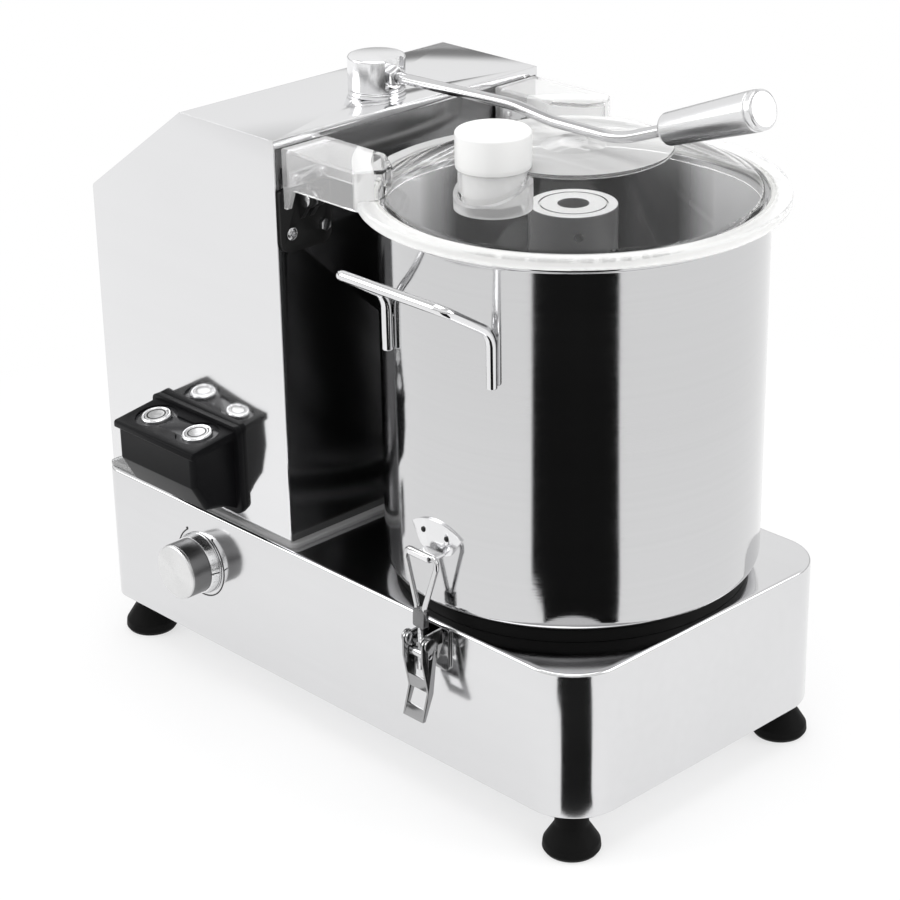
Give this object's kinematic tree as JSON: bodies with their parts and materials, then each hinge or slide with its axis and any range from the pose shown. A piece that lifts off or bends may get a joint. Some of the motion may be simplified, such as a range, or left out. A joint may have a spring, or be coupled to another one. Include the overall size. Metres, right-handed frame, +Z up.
{
  "type": "vegetable chopping machine",
  "caption": "Countertop bowl cutter: stainless bowl with spinning blades, clear hinged lid with feed cap, locking arm, motor column, switch box and toggle latches.",
  "frame": {"origin": "bottom centre of the bounding box, on the plane of the foot soles", "axes": "+X from the motor column towards the bowl, +Y away from the switch side, +Z up"},
  "size_m": [0.5278, 0.331, 0.4966],
  "materials": {
    "polished_steel": "polished",
    "mirror_steel": "mirror polished",
    "plain_steel": "satin",
    "bowl_steel": "fine horizontal brushing",
    "rod_steel": "polished",
    "latch_steel": "polished pressed steel",
    "latch_wire": "polished",
    "rivet_steel": "satin",
    "hub_steel": "turned",
    "blade_steel": "ground",
    "ground_steel": "ground",
    "head_steel": "turned",
    "hinge_steel": "satin",
    "screw_steel": "polished",
    "zinc_steel": "zinc plated",
    "bezel_steel": "polished",
    "button_steel": "spun",
    "black_bracket": "satin black",
    "motor_paint": "satin",
    "cast_alloy": "cast",
    "can_alloy": "satin",
    "knob_alloy": "spun face",
    "skirt_alloy": "satin",
    "black_rubber": "matt",
    "belt_rubber": "matt",
    "white_seal": "matt",
    "clear_seal": "cloudy",
    "black_plastic": "fine texture",
    "pad_plastic": "gloss",
    "grip_plastic": "metallic grey",
    "white_plastic": "satin",
    "clear_plastic": "clear",
    "circuit_board": "satin",
    "mark_print": "printed"
  },
  "bodies": {
    "machine": {"base_shell": "polished_steel", "bottom_plate": "plain_steel", "feet": "black_rubber", "foot_bolts": "zinc_steel", "cable_gland": "black_plastic", "column_gasket": "clear_seal", "column_shell": "polished_steel", "front_panel": "mirror_steel", "bowl_seat": "black_rubber", "spindle_housing": "cast_alloy", "spindle_bearings": "ground_steel", "drive_belt": "belt_rubber", "motor_plate": "zinc_steel", "motor_body": "motor_paint", "control_board": "circuit_board", "capacitor": "can_alloy", "bowl": "bowl_steel", "handle_near": "rod_steel", "handle_far": "rod_steel", "catch_near": "latch_steel", "catch_far": "latch_steel", "catch_rivets": "rivet_steel", "hinge_brackets": "black_bracket", "hinge_pins": "screw_steel", "bracket_screws": "screw_steel", "arm_post": "polished_steel", "microswitch": "black_plastic", "switch_box": "black_plastic", "switch_plate": "pad_plastic", "button_bezels": "bezel_steel", "speed_pot": "zinc_steel", "speed_marks": "mark_print", "latch_brackets": "latch_steel"},
    "blades": {"spindle_shaft": "ground_steel", "spindle_pulley": "cast_alloy", "blade_hub": "hub_steel", "lower_blade": "blade_steel", "upper_blade": "blade_steel", "blade_spacers": "hub_steel"},
    "motor_rotor": {"motor_shaft": "ground_steel", "motor_pulley": "cast_alloy"},
    "lid": {"lid_shell": "clear_plastic", "feed_tube": "clear_plastic", "lid_gasket": "white_seal", "hinge_leaves": "hinge_steel", "leaf_screws": "screw_steel"},
    "cap": {"feed_cap": "white_plastic"},
    "locking_arm": {"arm_head": "head_steel", "arm_nut": "screw_steel", "arm_rod": "rod_steel", "arm_grip": "grip_plastic"},
    "knob": {"speed_knob": "black_plastic", "knob_face": "knob_alloy", "knob_skirt": "skirt_alloy"},
    "on_button": {"button_on": "button_steel"},
    "off_button": {"button_off": "button_steel"},
    "near_lever": {"latch_lever_near": "latch_steel"},
    "near_bail": {"latch_bail_near": "latch_wire"},
    "far_lever": {"latch_lever_far": "latch_steel"},
    "far_bail": {"latch_bail_far": "latch_wire"}
  },
  "joints": [
    {"name": "arm_swing", "type": "hinge", "parent": "machine", "child": "locking_arm", "pos_m": [-0.07788, 0, 0.445], "axis": [0, 0, 1], "range_deg": [0, 100]},
    {"name": "lid_hinge", "type": "hinge", "parent": "machine", "child": "lid", "pos_m": [-0.03488, 0, 0.388], "axis": [0, -1, 0], "range_deg": [0, 1]},
    {"name": "cap_lift", "type": "slide", "parent": "lid", "child": "cap", "axis": [0, 0, 1], "range_m": [0, 0.06]},
    {"name": "blade_spin", "type": "hinge", "parent": "machine", "child": "blades", "pos_m": [0.10712, 0, 0.2], "axis": [0, 0, 1], "continuous": true},
    {"name": "motor_spin", "type": "hinge", "parent": "machine", "child": "motor_rotor", "pos_m": [-0.14288, 0, 0.15], "axis": [0, 0, 1], "continuous": true},
    {"name": "knob_turn", "type": "hinge", "parent": "machine", "child": "knob", "pos_m": [-0.13988, -0.14, 0.0954], "axis": [0, -1, 0], "range_deg": [-232, 64]},
    {"name": "on_press", "type": "slide", "parent": "machine", "child": "on_button", "axis": [0, 0.1448, -0.9895], "range_m": [0, 0.0025], "stiffness_N_per_m": 600, "springref_m": -0.001},
    {"name": "off_press", "type": "slide", "parent": "machine", "child": "off_button", "axis": [0, 0.1448, -0.9895], "range_m": [0, 0.0025], "stiffness_N_per_m": 600, "springref_m": -0.001},
    {"name": "near_latch", "type": "hinge", "parent": "machine", "child": "near_lever", "pos_m": [0.10712, -0.1445, 0.1305], "axis": [-1, 0, 0], "range_deg": [0, 90]},
    {"name": "near_bail_turn", "type": "hinge", "parent": "near_lever", "child": "near_bail", "pos_m": [0.10712, -0.143, 0.121], "axis": [-1, 0, 0], "range_deg": [-77.94, 0]},
    {"name": "far_latch", "type": "hinge", "parent": "machine", "child": "far_lever", "pos_m": [0.10712, 0.1445, 0.1305], "axis": [1, 0, 0], "range_deg": [0, 90]},
    {"name": "far_bail_turn", "type": "hinge", "parent": "far_lever", "child": "far_bail", "pos_m": [0.10712, 0.143, 0.121], "axis": [1, 0, 0], "range_deg": [-77.94, 0]}
  ],
  "couplings": [
    {"joint": "motor_spin", "follows": "blade_spin", "ratio": 0.8},
    {"joint": "near_bail_turn", "follows": "near_latch", "ratio": -0.866},
    {"joint": "far_bail_turn", "follows": "far_latch", "ratio": -0.866}
  ]
}
